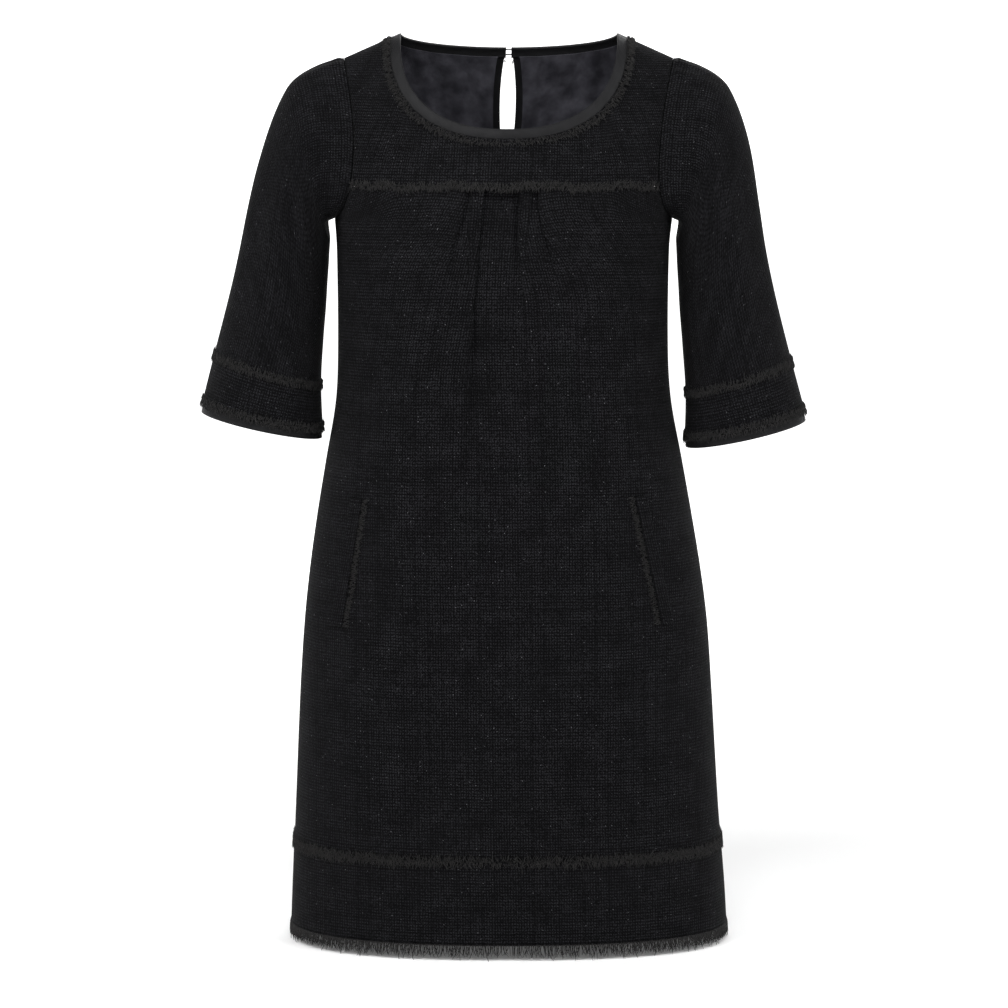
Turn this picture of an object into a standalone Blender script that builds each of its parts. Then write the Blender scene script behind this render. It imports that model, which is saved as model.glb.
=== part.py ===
"""A tweed shift dress, hollow and open, in the form it has when it is worn.

Metres, +Z up. The front faces -Y and the wearer's left is at +X. The origin is midway between
the two points where the shoulder seams meet the neck, which is where the dress hangs from.
Every piece of cloth is a grid laid on one smooth form by a function, then given its wall.
"""

import math
from collections import namedtuple

import bmesh
import bpy
from mathutils import Vector

for old in list(bpy.data.objects):
    bpy.data.objects.remove(old)

# ---- Driving sizes -------------------------------------------------------------------------

WALL = 0.0013  # tweed
LINING_WALL = 0.0010
BINDING_WALL = 0.0028  # wraps the tweed and the lining
FRINGE_WALL = 0.0030  # the reach of the frayed threads off the cloth
WELT_WALL = 0.0015
SEAM = 0.0003  # between pieces that meet edge to edge
RIDGE_SEAM = 0.0008  # at the shoulders and the neck binding, where the walls meet at an angle
ARMHOLE_SEAM = (0.0008, 0.0015)  # at the shoulder and under the arm
LAP = 0.0005  # between pieces that lie on each other
TRIM_LAP = 0.0008  # under the long trims, which cross the panels' facets

FRONT, BACK = -1, 1  # which way a face looks along Y
RIGHT, LEFT = -1, 1  # the wearer's, along X

YOKE_SEAM = -0.1475
UNDERARM = -0.180
HEM_SEAM = -0.804  # where the hem band is sewn on
HEM = -0.888
HEM_FRINGE = -0.899
YOKE_FRINGE = (-0.1415, -0.1530)
HEM_SEAM_FRINGE = (-0.7965, -0.8120)

# The form that the body of the dress hangs in. front and back are its depths at the middle.
Section = namedtuple("Section", "height half_width front back sway")
BODY = [
    Section(0.000, 0.1780, 0.1220, 0.1000, 0.0010),
    Section(-0.100, 0.1760, 0.1220, 0.1000, -0.0010),
    Section(-0.150, 0.1700, 0.1220, 0.1000, -0.0035),
    Section(-0.180, 0.1660, 0.1220, 0.1000, -0.0045),
    Section(-0.212, 0.1635, 0.1220, 0.0990, -0.0050),
    Section(-0.310, 0.1630, 0.1200, 0.0960, -0.0050),
    Section(-0.360, 0.1660, 0.1180, 0.0980, -0.0045),
    Section(-0.420, 0.1768, 0.1170, 0.1080, -0.0040),
    Section(-0.480, 0.1873, 0.1160, 0.1170, -0.0035),
    Section(-0.530, 0.1950, 0.1150, 0.1230, -0.0028),
    Section(-0.580, 0.2010, 0.1145, 0.1270, -0.0022),
    Section(-0.650, 0.2060, 0.1135, 0.1290, -0.0020),
    Section(-0.767, 0.2125, 0.1125, 0.1310, -0.0010),
    Section(-0.850, 0.2180, 0.1120, 0.1320, 0.0005),
    Section(-0.900, 0.2205, 0.1120, 0.1320, 0.0010),
]
SQUARENESS = 2.4  # of the sections: 2 is an ellipse, more is boxier

# The shoulder line runs z = SHOULDER_TOP - SHOULDER_SLOPE * hypot(x, SHOULDER_ROUND).
SHOULDER_TOP = 0.0520
SHOULDER_SLOPE = 0.46
SHOULDER_ROUND = 0.040
# Below it the front and the back round away over a drop, as quarter curves of these powers.
Roll = namedtuple("Roll", "drop power")
ROLL = {FRONT: Roll(0.30, 1.4), BACK: Roll(0.22, 1.6)}

# How far out the armhole seam runs at each height, from the middle.
Armhole = namedtuple("Armhole", "height reach")
ARMHOLE = [
    Armhole(-0.0245, 0.1610),
    Armhole(-0.0400, 0.1575),
    Armhole(-0.0600, 0.1535),
    Armhole(-0.0880, 0.1495),
    Armhole(-0.1150, 0.1478),
    Armhole(-0.1390, 0.1482),
    Armhole(-0.1580, 0.1512),
    Armhole(-0.1720, 0.1580),
    Armhole(-0.1800, 0.1660),
]

NECK_HALF = 0.106
NECK_DROP = {FRONT: 0.0925, BACK: 0.0130}
NECK_SQUARENESS = {FRONT: 2.4, BACK: 2.0}
BINDING = 0.0075  # width of the neck binding
NECK_FRINGE = (0.0080, 0.0175)  # from the neck edge
BINDING_END = 178.6  # degrees round the neck, beside the keyhole
NECK_FRINGE_END = 174.0

KEYHOLE_TOP = -0.0130
KEYHOLE_DEPTH = 0.1100
KEYHOLE_HALF = 0.0080
KEYHOLE_TIE = 0.0016  # half of the gap left at the very top
KEYHOLE_BINDING = 0.0062
KEYHOLE_START = -0.0209  # just under the neck binding
KEYHOLE_CLEAR = 1.12  # of the back's edge, times the binding's width, for the outline's slant

# The front's pleats, folded under away from the middle. at is the fold's place at the yoke seam,
# lean its slope below that, and opened its place once the pleat has opened out, after its length.
Pleat = namedtuple("Pleat", "at lean opened length")
PLEATS = [
    Pleat(-0.0385, -0.01, -0.054, 0.120),
    Pleat(-0.0200, -0.04, -0.032, 0.300),
    Pleat(0.0150, -0.06, 0.024, 0.170),
    Pleat(0.0355, -0.04, 0.056, 0.130),
]
PLY = 0.0017  # from one layer of a pleat to the next
# A pleat's cross-section from the side towards the middle: the place along the cloth and the
# sink in plies, where it is folded at the yoke and where it has opened.
Turn = namedtuple("Turn", "folded folded_sink opened opened_sink")
PLEAT_TURNS = [
    Turn(-0.0009, 0.0, -0.0100, 0.0),
    Turn(0.0000, 0.5, -0.0060, 0.2),
    Turn(-0.0009, 1.0, -0.0020, 0.7),
    Turn(-0.0100, 1.0, 0.0020, 1.3),
    Turn(-0.0109, 1.5, 0.0060, 1.8),
    Turn(-0.0100, 2.0, 0.0100, 2.0),
]

# The sleeve's rings, by the distance down its outer edge. outer and inner are the ring's points
# furthest from and nearest to the body, depth its half depth and lead its centre's place in Y.
Ring = namedtuple("Ring", "down outer_x outer_z inner_x inner_z depth lead")
SLEEVE = [
    Ring(0.000, 0.1610, -0.0245, 0.1660, -0.1800, 0.0580, 0.000),
    Ring(0.015, 0.1760, -0.0265, 0.1680, -0.1850, 0.0590, 0.000),
    Ring(0.032, 0.1925, -0.0310, 0.1690, -0.1910, 0.0600, 0.000),
    Ring(0.052, 0.2085, -0.0430, 0.1697, -0.1980, 0.0610, -0.001),
    Ring(0.077, 0.2215, -0.0640, 0.1702, -0.2060, 0.0620, -0.002),
    Ring(0.106, 0.2325, -0.0920, 0.1707, -0.2150, 0.0625, -0.003),
    Ring(0.140, 0.2415, -0.1250, 0.1713, -0.2270, 0.0630, -0.004),
    Ring(0.184, 0.2500, -0.1680, 0.1725, -0.2450, 0.0630, -0.006),
    Ring(0.229, 0.2580, -0.2120, 0.1740, -0.2700, 0.0635, -0.008),
    Ring(0.274, 0.2680, -0.2560, 0.1765, -0.3000, 0.0640, -0.010),
    Ring(0.337, 0.2840, -0.3170, 0.1795, -0.3480, 0.0660, -0.012),
    Ring(0.389, 0.2970, -0.3660, 0.1785, -0.3935, 0.0680, -0.014),
    Ring(0.397, 0.2990, -0.3740, 0.1780, -0.4010, 0.0680, -0.014),
]
HANG = {RIGHT: 0.988, LEFT: 1.012}  # the left sleeve hangs a little longer
HEAD_BLEND = 0.065  # over this the sleeve leaves the armhole's shape for its own
CUFF_SEAM = 0.337
CUFF_END = 0.389
CUFF_EDGE_END = 0.397
CUFF_SEAM_FRINGE = (0.330, 0.344)
CUFF_FRINGE = (0.379, 0.3915)

# Tucks of the gathered sleeve head: their angle from the top of the ring, to the front.
TUCKS = [-40, -20, 0, 20, 42]
TUCK_HEIGHT = 0.0022
TUCK_HALF_ANGLE = 10
TUCK_START = 0.012
TUCK_LENGTH = 0.070

# The pockets' openings, from the upper to the lower end, on the wearer's right and left.
Pocket = namedtuple("Pocket", "top_x top_z foot_x foot_z")
POCKETS = {
    RIGHT: Pocket(-0.1480, -0.449, -0.1705, -0.576),
    LEFT: Pocket(0.1370, -0.446, 0.1625, -0.572),
}
WELT_WIDTH = 0.0110
POCKET_FRINGE = 0.0075

BUTTON_RADIUS = 0.0045
SHANK_RADIUS = 0.0014
SHANK_LENGTH = 0.0032
LOOP_CORD = 0.0007  # radius
BUTTON_PLACE = (0.0075, -0.0172)
LOOP_ROOT = -0.0010  # where the loop leaves the end of the binding

# ---- Reading the tables --------------------------------------------------------------------


def mix(a, b, t):
    return a + (b - a) * t


def ease(t):
    """0 to 1, smoothly."""
    t = min(max(t, 0.0), 1.0)
    return t * t * (3 - 2 * t)


def read(rows, column, at):
    """A column's value where the table's first column is at, on a smooth curve through the rows."""
    keys = [row[0] for row in rows]
    values = [getattr(row, column) for row in rows]
    if keys[0] > keys[-1]:
        keys.reverse()
        values.reverse()
    at = min(max(at, keys[0]), keys[-1])
    low = max(i for i in range(len(keys) - 1) if keys[i] <= at)
    span = keys[low + 1] - keys[low]
    t = (at - keys[low]) / span

    def slope(i):
        a, b = max(i - 1, 0), min(i + 1, len(keys) - 1)
        return (values[b] - values[a]) / (keys[b] - keys[a]) * span

    start, end = values[low], values[low + 1]
    return (
        start * (1 + 2 * t) * (1 - t) ** 2
        + slope(low) * t * (1 - t) ** 2
        + end * t * t * (3 - 2 * t)
        + slope(low + 1) * t * t * (t - 1)
    )


def power(value, exponent):
    """value to a power, keeping its sign."""
    return math.copysign(abs(value) ** exponent, value)


# ---- The body's form -----------------------------------------------------------------------


def shoulder_line(x):
    return SHOULDER_TOP - SHOULDER_SLOPE * math.hypot(x, SHOULDER_ROUND)


def body_depth(face, x, height):
    """How far the form's middle lies in front of or behind the shoulder seam at this height."""
    drop = max(shoulder_line(x) - height, 0.0)
    roll = ROLL[face]
    round_off = math.sqrt(1 - (1 - min(drop / roll.drop, 1.0)) ** roll.power)
    return read(BODY, "front" if face == FRONT else "back", height) * round_off


def on_body(x, height, face):
    """The point of the form's front or back face at x, before the sway, and at this height."""
    across = min(abs(x) / read(BODY, "half_width", height), 1.0)
    bulge = (1 - across**SQUARENESS) ** (1 / SQUARENESS)
    gap = RIDGE_SEAM if height > shoulder_line(x) - SEAM else SEAM
    y = max(body_depth(face, x, height) * bulge, gap / 2)
    return Vector((x + read(BODY, "sway", height), face * y, height))


def reach_of_turn(turn):
    """The share of the half width at an angle from the middle of the face, 1 at the side."""
    return power(math.sin(turn), 2 / SQUARENESS)


def around_body(turn, height):
    """The form's point at an angle: 0 is the middle of the front, 90 degrees the left side."""
    face = FRONT if math.cos(turn) > 0 else BACK
    return on_body(reach_of_turn(turn) * read(BODY, "half_width", height), height, face)


def neck_edge(angle, inset):
    """x, height and face of the neck's edge: 0 is the middle of the front, 90 degrees the left shoulder."""
    face = FRONT if abs(angle) <= math.pi / 2 else BACK
    half = NECK_HALF + inset
    top = shoulder_line(half)
    low = -NECK_DROP[face] - inset
    curve = 2 / NECK_SQUARENESS[face]
    height = mix(top, low, abs(math.cos(angle)) ** curve)
    return half * power(math.sin(angle), curve), height, face


# ---- Making a piece ------------------------------------------------------------------------


def finish(name, bm, material):
    mesh = bpy.data.meshes.new(name)
    bm.to_mesh(mesh)
    bm.free()
    mesh.materials.append(material)
    mesh.shade_smooth()
    mesh.set_sharp_from_angle(angle=math.radians(50))
    piece = bpy.data.objects.new(name, mesh)
    bpy.context.scene.collection.objects.link(piece)
    return piece


def cloth(name, place, across, down, material, wall=WALL, out=0.0, ring=False):
    """A piece of cloth: a grid whose corner (i, j) goes to place(i, j), moved out along its normal and given its wall."""
    bm = bmesh.new()
    bmesh.ops.create_grid(bm, x_segments=across, y_segments=down, size=0.5)
    for vert in bm.verts:
        i = round((vert.co.x + 0.5) * across)
        j = round((vert.co.y + 0.5) * down)
        vert.co = place(i, j)
    if ring:
        bmesh.ops.remove_doubles(bm, verts=bm.verts, dist=SEAM / 10)
    bm.normal_update()
    moves = [(vert, vert.normal * out) for vert in bm.verts]
    for vert, move in moves:
        vert.co += move
    piece = finish(name, bm, material)
    thicken = piece.modifiers.new("wall", "SOLIDIFY")
    thicken.thickness = wall
    thicken.offset = 0.0
    return piece


def lying_on(wall, lap=LAP):
    """How far out the middle of a piece lies that rests on the tweed."""
    return WALL / 2 + lap + wall / 2


def paint(name, colour, roughness):
    material = bpy.data.materials.new(name)
    material.use_nodes = True
    shader = material.node_tree.nodes["Principled BSDF"]
    shader.inputs["Base Color"].default_value = (*colour, 1)
    shader.inputs["Roughness"].default_value = roughness
    shader.inputs["Metallic"].default_value = 0.0
    return material


TWEED = paint("tweed", (0.012, 0.012, 0.013), 0.95)
FRAYED = paint("frayed_trim", (0.011, 0.011, 0.011), 0.95)
SATIN = paint("binding", (0.016, 0.016, 0.018), 0.55)
LINING = paint("lining", (0.022, 0.021, 0.025), 0.45)
GLOSS = paint("button", (0.010, 0.010, 0.011), 0.25)

# ---- Front: yoke, pleated body, their seam's trim and the pockets --------------------------

NECK_TURNS = [12, 24, 36, 47, 58, 68, 76, 82, 86, 88.5, 90]  # close together at the shoulder
NECK_ANGLES = [math.radians(a) for a in [-a for a in reversed(NECK_TURNS)] + [0] + NECK_TURNS]
SHOULDER_STEPS = 4
YOKE_FAN = 0.7  # of the yoke's columns: 0 spaces them evenly at the seam, 1 runs them straight down


def blended_row(low, top, share, arm_from):
    """A column's point between a low and a top (share of the armhole's reach, height): share 0 is low."""
    lift = math.sin(share * math.pi / 2)
    height = mix(low[1], top[1], lift)
    arm = read(ARMHOLE, "reach", height)
    return mix(arm_from, arm, mix(low[0], top[0], lift)), height


def front_yoke():
    """From the yoke seam up to the neck and the shoulder seams, between the armholes."""
    tops = []
    for side in (RIGHT, LEFT):
        reach = read(ARMHOLE, "reach", 0.0)
        inner = NECK_HALF + BINDING + RIDGE_SEAM
        steps = [mix(inner, reach, k / SHOULDER_STEPS) for k in range(1, SHOULDER_STEPS + 1)]
        shoulder = [(side * x / reach, shoulder_line(x)) for x in steps]
        tops.append(shoulder)
    neck = []
    for angle in NECK_ANGLES:
        x, height, _ = neck_edge(angle, BINDING + RIDGE_SEAM)
        neck.append((x / read(ARMHOLE, "reach", height), height))
    top = tops[0][::-1] + neck + tops[1]
    across, down = len(top) - 1, 5
    seam = YOKE_SEAM + SEAM / 2

    def place(i, j):
        low = (mix(-1 + 2 * i / across, top[i][0], YOKE_FAN), seam)
        x, height = blended_row(low, top[i], j / down, 0.0)
        return on_body(x, height, FRONT)

    cloth("front_yoke", place, across, down, TWEED)


def pleat_columns(pleat):
    """The columns of one pleat, each as a function from height to (x, sink in plies)."""
    inward = -math.copysign(1, pleat.at)

    def column(turn):
        def at(height):
            fall = YOKE_SEAM - height
            opening = ease(fall / pleat.length)
            fading = 1 - ease(fall / pleat.length / 1.4)
            line = mix(pleat.at + pleat.lean * fall, pleat.opened, opening)
            x = line + inward * mix(turn.folded, turn.opened, opening)
            return x, fading * mix(turn.folded_sink, turn.opened_sink, opening)

        return at

    turns = PLEAT_TURNS if inward > 0 else PLEAT_TURNS[::-1]
    return [column(turn) for turn in turns]


def sink_of(pleats, height):
    """How deep the cloth lies that is folded under all of these pleats, in plies."""
    return sum(2 * (1 - ease((YOKE_SEAM - height) / p.length / 1.4)) for p in pleats)


SIDE_TURNS = [90, 78, 64, 50, 37, 24]
FIXED_TURN = 30  # columns nearer to the middle keep their place beside the armhole
FRONT_HEIGHTS = [
    YOKE_SEAM - SEAM / 2, -0.158, -0.170, -0.180, -0.215, -0.265,
    -0.325, -0.395, -0.480, -0.620, HEM_SEAM + SEAM / 2,
]  # fmt: skip


def side_column(side, degrees):
    """A plain column at an angle, drawn in beside the armhole, as a function from height to (x, sink)."""

    def at(height):
        half = read(BODY, "half_width", height)
        edge = 90.0
        if height > UNDERARM:
            share = min(read(ARMHOLE, "reach", height) / half, 1.0)
            edge = math.degrees(math.asin(share ** (SQUARENESS / 2)))
        turn = degrees
        if degrees > FIXED_TURN:
            turn = mix(FIXED_TURN, edge, (degrees - FIXED_TURN) / (90 - FIXED_TURN))
        return side * half * reach_of_turn(math.radians(turn)), 0.0

    return at


def middle_column(first, second, share, pleats):
    """A column between two pleats' nearest columns."""

    def at(height):
        return mix(first(height)[0], second(height)[0], share), sink_of(pleats, height)

    return at


def front_columns():
    outer_right, inner_right, inner_left, outer_left = (pleat_columns(p) for p in PLEATS)
    columns = [side_column(RIGHT, degrees) for degrees in SIDE_TURNS]
    columns += outer_right
    columns += [middle_column(outer_right[-1], inner_right[0], 0.75, PLEATS[:1])]
    columns += inner_right
    columns += [middle_column(inner_right[-1], inner_left[0], s, PLEATS[:2]) for s in (0.5, 0.75)]
    columns += inner_left
    columns += [middle_column(inner_left[-1], outer_left[0], 0.25, PLEATS[3:])]
    columns += outer_left
    columns += [side_column(LEFT, degrees) for degrees in reversed(SIDE_TURNS)]
    return columns


def front_body():
    """From the yoke seam down to the hem band, with the pleats folded in it."""
    columns = front_columns()
    heights = FRONT_HEIGHTS[::-1]

    def place(i, j):
        x, sink = columns[i](heights[j])
        point = on_body(x, heights[j], FRONT)
        point.y += sink * PLY
        return point

    cloth("front_body", place, len(columns) - 1, len(heights) - 1, TWEED)


def yoke_fringe():
    """The frayed trim over the yoke seam, from armhole to armhole."""
    across = 20
    top, bottom = YOKE_FRINGE

    def place(i, j):
        height = mix(bottom, top, j)
        reach = read(ARMHOLE, "reach", height) - SEAM
        return on_body(mix(-reach, reach, i / across), height, FRONT)

    cloth("yoke_fringe", place, across, 1, FRAYED, FRINGE_WALL, lying_on(FRINGE_WALL, TRIM_LAP))


def pocket(side, name):
    """A slanted welt at the opening, and the frayed trim along its edge nearer to the middle."""
    line = POCKETS[side]
    steps = 8

    def strip(near, far):
        def place(i, j):
            inset = mix(near, far, i if side == RIGHT else 1 - i)
            along = j / steps
            x = mix(line.foot_x, line.top_x, along) - side * inset
            return on_body(x, mix(line.foot_z, line.top_z, along), FRONT)

        return place

    welt = strip(0.0, WELT_WIDTH)
    cloth(f"pocket_welt_{name}", welt, 1, steps, TWEED, WELT_WALL, lying_on(WELT_WALL))
    trim = strip(WELT_WIDTH + SEAM, WELT_WIDTH + SEAM + POCKET_FRINGE)
    cloth(f"pocket_fringe_{name}", trim, 1, steps, FRAYED, FRINGE_WALL, lying_on(FRINGE_WALL))


# ---- Back: two halves with a keyhole between them, their lining and bindings ---------------


def keyhole_half(height):
    """Half of the keyhole's width at this height."""
    fall = min(max((KEYHOLE_TOP - height) / KEYHOLE_DEPTH, 0.0), 1.0)
    sine = math.sqrt(max(1 - (2 * fall - 1) ** 2, 0.0))
    tie = KEYHOLE_TIE * (1 - fall)
    return tie + (KEYHOLE_HALF - tie) * sine ** (1.5 if fall < 0.5 else 1.0)


def keyhole_outline(angle, width):
    """x and height at an angle round the keyhole, 0 at its foot, moved away from the hole by width."""
    sides = []
    for at in (angle - 0.01, angle + 0.01, angle):
        height = KEYHOLE_TOP - KEYHOLE_DEPTH * (1 + math.cos(at)) / 2
        sides.append(Vector((math.copysign(keyhole_half(height), at), height)))
    along = (sides[1] - sides[0]).normalized()
    return sides[2] + Vector((along.y, -along.x)) * width


def centre_back(height):
    """How far from the middle the edge of a back half runs."""
    foot = KEYHOLE_TOP - KEYHOLE_DEPTH
    width = KEYHOLE_BINDING + SEAM
    if height >= foot:
        return keyhole_half(height) + width * KEYHOLE_CLEAR
    fall = (foot - height) / (width * KEYHOLE_CLEAR)
    return SEAM / 2 + width * math.sqrt(max(1 - fall * fall, 0.0))


BACK_ANGLES = [math.radians(a) for a in (176, 165, 152, 139, 126, 114, 104, 96, 90)]
BACK_LOW = [HEM_SEAM + SEAM / 2, -0.620, -0.480, -0.395, -0.325, -0.250]
BACK_HIGH = [0.0, 0.04, 0.09, 0.16, 0.26, 0.38, 0.52, 0.70, 0.85, 1.0]
LINING_START = 3  # the row of BACK_HIGH at the lining's lower edge


def back_tops():
    """The top of each column of a back half, from the middle out, as (share of the reach, height)."""
    reach = read(ARMHOLE, "reach", 0.0)
    tops = []
    for angle in BACK_ANGLES:
        x, height, _ = neck_edge(angle, BINDING + RIDGE_SEAM)
        middle = centre_back(height)
        tops.append(((x - middle) / (read(ARMHOLE, "reach", height) - middle), height))
    tops[0] = (0.0, tops[0][1])
    inner = NECK_HALF + BINDING + RIDGE_SEAM
    middle = centre_back(0.0)
    for k in range(1, SHOULDER_STEPS + 1):
        x = mix(inner, reach, k / SHOULDER_STEPS)
        tops.append(((x - middle) / (reach - middle), shoulder_line(x)))
    return tops


def back_half(side, name):
    """From the hem band up to the neck and the shoulder seam, and the lining inside its upper part."""
    tops = back_tops()
    last = len(tops) - 1

    def point(column, j):
        share = reach_of_turn(math.pi / 2 * column / last)
        if j < len(BACK_LOW):
            height = BACK_LOW[j]
            x = mix(centre_back(height), read(BODY, "half_width", height), share)
        else:
            rise = BACK_HIGH[j - len(BACK_LOW)]
            height = mix(UNDERARM, tops[column][1], math.sin(rise * math.pi / 2))
            x, height = blended_row((share, UNDERARM), tops[column], rise, centre_back(height))
        return on_body(side * x, height, BACK)

    def place(i, j):
        return point(last - i if side == LEFT else i, j)

    def place_lining(i, j):
        return point(last - 1 - i if side == LEFT else i, j + len(BACK_LOW) + LINING_START)

    cloth(f"back_{name}", place, last, len(BACK_LOW) + len(BACK_HIGH) - 1, TWEED)
    under = -(WALL / 2 + LAP + LINING_WALL / 2)
    rows = len(BACK_HIGH) - 1 - LINING_START
    cloth(f"back_lining_{name}", place_lining, last - 1, rows, LINING, LINING_WALL, under)


def neck_strip(name, edges, last_angle, material, wall, out):
    """A strip that follows the neck's edge from one side of the keyhole, round the front, to the other."""
    back = [math.radians(last_angle)] + [a for a in BACK_ANGLES[1:-1]]
    angles = [-a for a in back] + NECK_ANGLES + back[::-1]
    inner, outer = edges

    def place(i, j):
        return on_body(*neck_edge(angles[i], mix(outer, inner, j)))

    return cloth(name, place, len(angles) - 1, 1, material, wall, out)


def keyhole_binding():
    """The smooth binding round the keyhole's edge, open at the top."""
    steps = 24
    start = math.acos(1 - 2 * (KEYHOLE_START - KEYHOLE_TOP + KEYHOLE_DEPTH) / KEYHOLE_DEPTH)

    def place(i, j):
        angle = mix(start, -start, i / steps)
        x, height = keyhole_outline(angle, KEYHOLE_BINDING * (1 - j))
        return on_body(x, min(height, KEYHOLE_START), BACK)

    cloth("keyhole_binding", place, steps, 1, SATIN, BINDING_WALL - LAP, -LAP)


# ---- Hem band and its two fringes ----------------------------------------------------------


def hem_band(face, name):
    across = 20
    start = 0.0 if face == FRONT else math.pi

    def place(i, j):
        turn = start + mix(-math.pi / 2, math.pi / 2, i / across)
        height = mix(HEM, HEM_SEAM - SEAM / 2, j / 2)
        return on_body(math.copysign(1, math.sin(turn)) * abs(reach_of_turn(turn))
                       * read(BODY, "half_width", height), height, face)  # fmt: skip

    cloth(f"hem_band_{name}", place, across, 2, TWEED)


def body_ring(name, heights, out):
    """A frayed trim all round the skirt."""
    around = 40

    def place(i, j):
        return around_body(2 * math.pi * (i % around) / around - math.pi / 2, heights[j])

    cloth(name, place, around, 1, FRAYED, FRINGE_WALL, out, ring=True)


# ---- Sleeves, cuffs and their trims --------------------------------------------------------


def armhole_loop(angle):
    """The armhole seam of the left side: 0 is the shoulder, 90 degrees the front."""
    top, low = ARMHOLE[0].height, ARMHOLE[-1].height
    height = mix(low, top, (1 + math.cos(angle)) / 2)
    face = FRONT if math.sin(angle) >= 0 else BACK
    point = on_body(read(ARMHOLE, "reach", height), height, face)
    point.x -= read(BODY, "sway", height)
    return point


def tuck_rise(down, angle):
    """How far the gathered head stands out between its tucks."""
    near = min(abs(math.degrees(angle) - tuck) for tuck in TUCKS)
    rib = math.cos(min(near / TUCK_HALF_ANGLE, 1.0) * math.pi / 2)
    return TUCK_HEIGHT * rib * ease(down / TUCK_START) * (1 - ease(down / TUCK_LENGTH))


def sleeve_point(side, down, angle):
    """A point of the sleeve, by the distance down from the armhole and the angle from the top to the front."""
    outer = Vector((read(SLEEVE, "outer_x", down), 0, read(SLEEVE, "outer_z", down)))
    inner = Vector((read(SLEEVE, "inner_x", down), 0, read(SLEEVE, "inner_z", down)))
    centre = (outer + inner) / 2
    centre.y = read(SLEEVE, "lead", down)
    span = (outer - inner) / 2
    deep = Vector((0, -read(SLEEVE, "depth", down), 0))
    ring = centre + span * math.cos(angle) + deep * math.sin(angle)
    first = SLEEVE[0]
    start = Vector(((first.outer_x + first.inner_x) / 2, 0, (first.outer_z + first.inner_z) / 2))
    head = armhole_loop(angle) + (centre - start)
    point = head.lerp(ring, ease(down / HEAD_BLEND))
    point += (point - centre).normalized() * tuck_rise(down, angle)
    top = SLEEVE[0].outer_z
    point.z = top + (point.z - top) * mix(1.0, HANG[side], ease(down / CUFF_SEAM))
    gap = mix(*ARMHOLE_SEAM, (1 - math.cos(angle)) / 2)
    point.x = side * (point.x + gap) + read(BODY, "sway", point.z)
    return point


SLEEVE_ANGLES = [-180, -150, -135, -118, -96, -72, -50, -40, -30, -20, -10, 0,
                 10, 20, 31, 42, 64, 88, 112, 134, 150, 180]  # fmt: skip
SLEEVE_ROWS = [0.000, 0.012, 0.028, 0.048, 0.076, 0.115, 0.175, 0.250, CUFF_SEAM - SEAM / 2]


def sleeve_tube(name, side, rows, material, wall=WALL, out=0.0):
    """A ring of cloth down a stretch of the sleeve."""
    angles = [math.radians(side * a) for a in SLEEVE_ANGLES]

    def place(i, j):
        return sleeve_point(side, rows[j], angles[i % (len(angles) - 1)])

    cloth(name, place, len(angles) - 1, len(rows) - 1, material, wall, out, ring=True)


def sleeve(side, name):
    sleeve_tube(f"sleeve_{name}", side, SLEEVE_ROWS, TWEED)
    cuff_rows = [CUFF_SEAM + SEAM / 2, CUFF_END - SEAM]
    sleeve_tube(f"cuff_{name}", side, cuff_rows, TWEED)
    sleeve_tube(f"cuff_edge_{name}", side, [CUFF_END, CUFF_EDGE_END], LINING, LINING_WALL)
    out = lying_on(FRINGE_WALL)
    sleeve_tube(f"cuff_seam_fringe_{name}", side, CUFF_SEAM_FRINGE, FRAYED, FRINGE_WALL, out)
    sleeve_tube(f"cuff_fringe_{name}", side, CUFF_FRINGE, FRAYED, FRINGE_WALL, out)


# ---- Button and loop -----------------------------------------------------------------------


def back_face(x, height, out):
    """A point off the neck binding's outer face at the back."""
    point = on_body(x, height, BACK)
    return point + Vector((0, BINDING_WALL / 2 + out, 0))


def button():
    """A ball on a short shank, turned about the shank's axis, seated on the left end of the binding."""
    seat = back_face(*BUTTON_PLACE, SEAM)
    middle = SHANK_LENGTH + BUTTON_RADIUS * 0.95
    bm = bmesh.new()
    profile = [(0, 0), (SHANK_RADIUS, 0), (SHANK_RADIUS, SHANK_LENGTH)]
    meets = math.asin(SHANK_RADIUS / BUTTON_RADIUS)
    rings = 7
    for k in range(rings + 1):
        angle = mix(math.pi - meets, 0, k / rings)
        profile.append((BUTTON_RADIUS * math.sin(angle), middle + BUTTON_RADIUS * math.cos(angle)))
    verts = [bm.verts.new((r, y, 0)) for r, y in profile]
    edges = [bm.edges.new(pair) for pair in zip(verts, verts[1:])]
    bmesh.ops.spin(bm, geom=verts + edges, axis=(0, 1, 0), cent=(0, 0, 0),
                   angle=2 * math.pi, steps=12, use_merge=True)  # fmt: skip
    bmesh.ops.remove_doubles(bm, verts=bm.verts, dist=1e-5)
    bmesh.ops.recalc_face_normals(bm, faces=bm.faces)
    bmesh.ops.translate(bm, verts=bm.verts, vec=seat)
    finish("button", bm, GLOSS)


def button_loop():
    """A thin cord that leaves the right end of the binding, passes round the shank and comes back."""
    x, height = BUTTON_PLACE
    radius = SHANK_RADIUS + SEAM + LOOP_CORD
    out = LOOP_CORD + SEAM
    far = [math.radians(a) for a in range(90, -91, -30)]
    flat = [(LOOP_ROOT - 0.0030, radius), (LOOP_ROOT, radius), ((LOOP_ROOT + x) / 2, radius)]
    points = flat + [(x + radius * math.cos(a), radius * math.sin(a)) for a in far]
    points += [(px, -pz) for px, pz in reversed(flat)]
    curve = bpy.data.curves.new("button_loop", "CURVE")
    curve.dimensions = "3D"
    curve.bevel_depth = LOOP_CORD
    curve.bevel_resolution = 1
    curve.use_fill_caps = True
    spline = curve.splines.new("POLY")
    spline.points.add(len(points) - 1)
    for target, (px, pz) in zip(spline.points, points):
        target.co = (*back_face(px, height + pz, out), 1)
    curve.materials.append(SATIN)
    loop = bpy.data.objects.new("button_loop", curve)
    bpy.context.scene.collection.objects.link(loop)


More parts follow.
